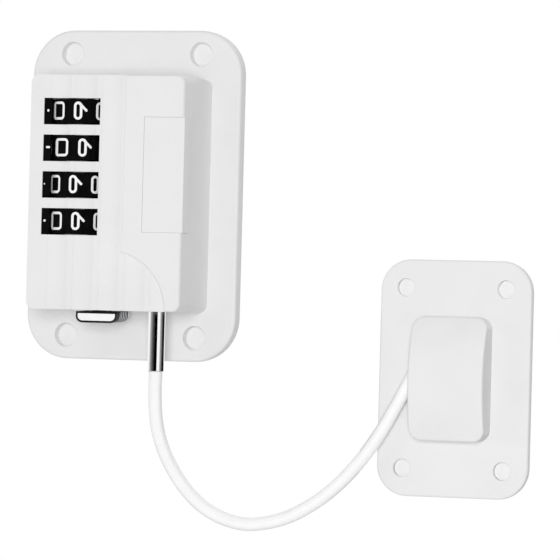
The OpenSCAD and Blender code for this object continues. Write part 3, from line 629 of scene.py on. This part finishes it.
# The grooves between the ribs and the shoulders between layers get painted shade; the ribs themselves stay
# steel.
for part in tab_bm.faces:
    layer = int((tab_high.y - part.calc_center_median().y) / tab_layer)
    part.material_index = 1 if layer % 2 or abs(part.normal.y) > 0.5 else 2
# A border round the face, painted dark as the painted reflection that the chrome edge shows.
border = bmesh.ops.inset_region(tab_bm, faces=front, thickness=tab_border, depth=0, use_even_offset=True)
for part in border["faces"]:
    part.material_index = 1
front[0].material_index = 0
for corner in front[0].verts:
    if corner.co.z > tab_top - 1.1 * tab_border:
        corner.co.z += tab_border / 2
for corner in tab_bm.verts:
    back_share = (corner.co.y - tab_low.y) / (tab_high.y - tab_low.y)
    corner.co.z += (tab_top - corner.co.z) * tab_draft * back_share
bmesh.ops.recalc_face_normals(tab_bm, faces=tab_bm.faces)
tab = add_piece("thumb_tab", finished(tab_bm, "thumb_tab", 20), chrome, painted_dark_shade_and_reflection, steel)
post_left, post_right, post_front, post_back = -0.006, -0.002, -0.01835, -0.01395
post_mesh = block_mesh((post_left, post_front, tab_top - 2 * tab_groove), (post_right, post_back, tab_high.z))
# The post above the tab is painted dark, as painted shade in the gap below the case.
post = add_piece("tab_post", post_mesh, painted_dark_shade_and_reflection)
for piece in (tab, post):
    piece.visible_glossy = False
    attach(piece, "latch")
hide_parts("release_tab")

# Front cover. The moulded white case of the lock: four dial windows in a fluted field, a raised
# smooth panel with an arc cut from its lower corner, and a recess for the side blank.
cover_low, cover_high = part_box("front_cover")
cover_wall, cover_front_wall, cover_eased = 0.002, 0.0024, 0.00018
cover_corner, cover_rim, cover_crisp = 0.0024, 0.0011, 0.0005
field_y, panel_left = cover_low.y + 0.0005, 0.0056
arc_middle, arc_r, arc_steps = Vector((0.0022, 0, -0.034)), 0.0174, 40
seam_w, seam_deep = 0.00035, 0.0003
flute_w, flute_deep, flute_ledge = 0.0061, 0.0006, 0.0007
flutes, flute_pitch, flute_first = 5, 0.0081, cover_low.x + 0.00975
flute_r = (flute_w ** 2 / 4 + flute_deep ** 2) / (2 * flute_deep)
flute_line_w, flute_line_deep = 0.0002, 0.00012
cover_bm = rounded_sheet(cover_low, cover_high, cover_corner)
rim_share = cover_bm.edges.layers.float.new("bevel_weight_edge")
for edge in cover_bm.edges:
    if all(corner.co.y < cover_low.y + 1e-6 for corner in edge.verts):
        upright = abs((edge.verts[1].co - edge.verts[0].co).normalized().z)
        edge[rim_share] = (cover_crisp + (cover_rim - cover_crisp) * upright) / cover_rim
cover = add_piece("cover_shell", finished(cover_bm, "cover_shell"), white_plastic)
rounding = cover.modifiers.new("rounding", "BEVEL")
rounding.width, rounding.segments, rounding.limit_method = cover_rim, 6, "WEIGHT"


def panel_edge(inset=0.0):
    """The panel's left edge and arc from top to bottom, or a line a little inside the fluted field."""
    left, radius = panel_left - inset, arc_r - inset
    arc_end = math.acos((left - arc_middle.x) / radius)
    arc = [arc_middle + radius * Vector((math.cos(a), 0, math.sin(a)))
           for a in (arc_end * k / arc_steps for k in range(arc_steps, -1, -1))]
    return [(left, cover_high.z + clear), *((place.x, place.z) for place in arc),
            (arc_middle.x + radius, cover_low.z - clear)]


def front_cut(outline, back):
    """A shape with an outline seen from the front, from before the case to a depth."""
    bm = bmesh.new()
    bm.faces.new([bm.verts.new((x, cover_low.y - clear, z)) for x, z in outline])
    draw_out(bm, (0, back - cover_low.y + clear, 0))
    bmesh.ops.recalc_face_normals(bm, faces=bm.faces)
    return finished(bm, "cut")


inside_low = cover_low + Vector((cover_wall, cover_front_wall, cover_wall))
inside_high = cover_high + Vector((-cover_wall, clear, -cover_wall))
inside = finished(rounded_sheet(inside_low, inside_high, cover_corner - cover_wall), "inside")
left_side = [(cover_low.x - clear, cover_low.z - clear), (cover_low.x - clear, cover_high.z + clear)]
carve(cover, inside, front_cut([*panel_edge(), *left_side], field_y))
for k in range(flutes):
    flute_x = flute_first + k * flute_pitch
    flute = rod_mesh((flute_x, field_y + flute_deep - flute_r, cover_low.z - clear),
                     (flute_x, field_y + flute_deep - flute_r, cover_high.z + clear), flute_r, 128)
    if flute_x + flute_w / 2 > panel_left:
        holder = add_piece("flute", flute)
        flute_room = front_cut([*panel_edge(flute_ledge), *left_side], field_y + 2 * flute_deep)
        carve(holder, flute_room, how="INTERSECT")
        flute = holder.data
        bpy.data.objects.remove(holder)
    line_x = flute_x - flute_w / 2 - 2 * flute_line_w
    line_top = cover_high.z + clear
    if line_x > panel_left:
        line_top = arc_middle.z + math.sqrt((arc_r - flute_ledge) ** 2 - (line_x - arc_middle.x) ** 2)
    carve(cover, flute, block_mesh((line_x, cover_low.y - clear, cover_low.z - clear),
                                   (line_x + 1.5 * flute_line_w, field_y + flute_line_deep, line_top)))
seam = [*panel_edge(-seam_w / 10)[1:], *reversed(panel_edge(seam_w)[1:])]
carve(cover, front_cut(seam, field_y + seam_deep))
windows = [block_mesh((window_left, cover_low.y - clear, z - window_h / 2),
                      (window_left + window_w, inside_low.y + clear, z + window_h / 2)) for z in window_z]
blank_low, blank_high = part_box("side_panel")
blank_gap, blank_deep = 0.00015, 0.0011
room_low, room_high = blank_low.z - blank_gap / 6, blank_high.z + blank_gap / 3
blank_room = [
    block_mesh((blank_low.x - blank_gap, cover_low.y - clear, room_low),
               (cover_high.x + clear, cover_low.y + blank_deep + blank_gap / 2, room_high)),
    block_mesh((cover_high.x - blank_deep - blank_gap / 2, cover_low.y - clear, room_low),
               (cover_high.x + clear, blank_high.y + blank_gap, room_high))]
plug_way_r, post_gap = 0.00275, 0.0003
plug_way = rod_mesh((*plug_axis.xy, cover_low.z - clear), (*plug_axis.xy, inside_low.z + clear), plug_way_r)
tab_way = block_mesh((post_left - post_gap, post_front - post_gap, cover_low.z - clear),
                     (post_right + latch_travel + post_gap, post_back + post_gap, inside_low.z + clear))
carve(cover, *windows, *blank_room, plug_way, tab_way)
ease_edges(cover, cover_eased)
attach(cover, "lock")
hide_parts("front_cover")
dress(white_plastic, "plug_socket")
dress(steel, "cover_screws")

# Side blank. A thin moulded white panel, bent round the right edge of the case and let into its
# recess, with a hairline gap all round. It stands a little proud of the case.
blank_proud, blank_eased = 0.0002, 0.00015
blank_right = blank_high.x + blank_proud
blank_bm = bmesh.new()
blank_corners = [blank_bm.verts.new((x, y, blank_low.z)) for x, y in (
    (blank_low.x, cover_low.y + blank_deep), (blank_low.x, blank_low.y), (blank_right, blank_low.y),
    (blank_right, blank_high.y), (cover_high.x - blank_deep, blank_high.y),
    (cover_high.x - blank_deep, cover_low.y + blank_deep))]
blank_bm.faces.new(blank_corners)
draw_out(blank_bm, (0, 0, blank_high.z - blank_low.z))
blank_edge = [e for e in blank_bm.edges if all(
    abs(v.co.x - blank_right) < 1e-6 and abs(v.co.y - blank_low.y) < 1e-6 for v in e.verts)]
bmesh.ops.bevel(blank_bm, geom=blank_edge, offset=cover_crisp / 2, offset_type="OFFSET", segments=6,
                profile=0.5, affect="EDGES", material=-1)
bmesh.ops.recalc_face_normals(blank_bm, faces=blank_bm.faces)
blank = add_piece("side_blank", finished(blank_bm, "side_blank"), white_plastic)
ease_edges(blank, blank_eased)
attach(blank, "lock")
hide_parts("side_panel")

# Anchor base. A smaller moulded white plate on its own foam tape, with four screw holes. It sticks
# to the neighbouring door.
anchor_foam_corner, anchor_corner, anchor_rim = 0.00885, 0.009, 0.0006
anchor_holes_apart, anchor_hole_r = (0.030, 0.0518), 0.0026
anchor_foam_bm = rounded_sheet(*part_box("anchor_pad"), anchor_foam_corner)
anchor_foam = add_piece("anchor_foam", finished(anchor_foam_bm, "anchor_foam"), foam)
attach(anchor_foam, "lock")
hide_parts("anchor_pad")
anchor_low, anchor_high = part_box("anchor_plate")
anchor_bm = rounded_sheet(anchor_low, anchor_high, anchor_corner, anchor_rim)
anchor_base = add_piece("anchor_base", finished(anchor_bm, "anchor_base"), white_plastic)
carve(anchor_base, *holes_through(anchor_low, anchor_high, anchor_holes_apart, anchor_hole_r))
ease_edges(anchor_base, plate_eased)
anchor_base.visible_glossy = anchor_foam.visible_glossy = False
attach(anchor_base, "lock")
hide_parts("anchor_plate")

# Anchor cap. A hollow moulded white cap, arched from top to bottom, screwed on from behind. The
# cable comes out of a slanted hole in its left wall, held by a steel crimp inside.
cap_low, cap_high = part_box("anchor_cover")
cap_wall, cap_corner, cap_rim, cap_eased = 0.0016, 0.0035, 0.0006, 0.0002
cap_top_rise, cap_foot_rise, cap_cuts = 0.004, 0.0056, 32


def arched_block(low, high, corner, rim, top_rise, foot_rise):
    """A slab with round corners whose front is bent to an arch, lower at its top and at its foot."""
    bm = rounded_sheet(low, high, corner, rim)
    middle_z, half, rise = (low.z + high.z) / 2, (high.z - low.z) / 2, high.y - low.y
    for k in range(1, cap_cuts):
        bmesh.ops.bisect_plane(bm, geom=bm.verts[:] + bm.edges[:] + bm.faces[:], dist=1e-7,
                               plane_co=(0, 0, low.z + k * 2 * half / cap_cuts), plane_no=(0, 0, 1))
    for corner_point in bm.verts:
        sag = rise - (top_rise if corner_point.co.z > middle_z else foot_rise)
        radius = (half ** 2 + sag ** 2) / (2 * sag)
        here = math.sqrt(radius ** 2 - (corner_point.co.z - middle_z) ** 2) - radius + rise
        corner_point.co.y = high.y + (corner_point.co.y - high.y) * here / rise
    return bm


cap_bm = arched_block(cap_low, cap_high, cap_corner, cap_rim, cap_top_rise, cap_foot_rise)
cap = add_piece("anchor_cap", finished(cap_bm, "anchor_cap", 50), white_plastic)
hollow_bm = arched_block(cap_low + Vector((cap_wall, cap_wall, cap_wall)),
                         cap_high + Vector((-cap_wall, clear, -cap_wall)), cap_corner - cap_wall, 0,
                         cap_top_rise - cap_wall + clear, cap_foot_rise - cap_wall + clear)
entry, entry_reach, entry_gap = Vector(cable_exit), 0.006, 0.0001
entry_slope = math.radians(62)
entry_way = Vector((math.cos(entry_slope), 0, math.sin(entry_slope)))
carve(cap, finished(hollow_bm, "hollow"),
      rod_mesh(entry - entry_reach * entry_way, entry + entry_reach * entry_way, cable_d / 2 + entry_gap))
ease_edges(cap, cap_eased, 50)
cap.visible_glossy = False
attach(cap, "lock")
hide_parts("anchor_cover")
dress(steel, "cable_stop", "anchor_screws")
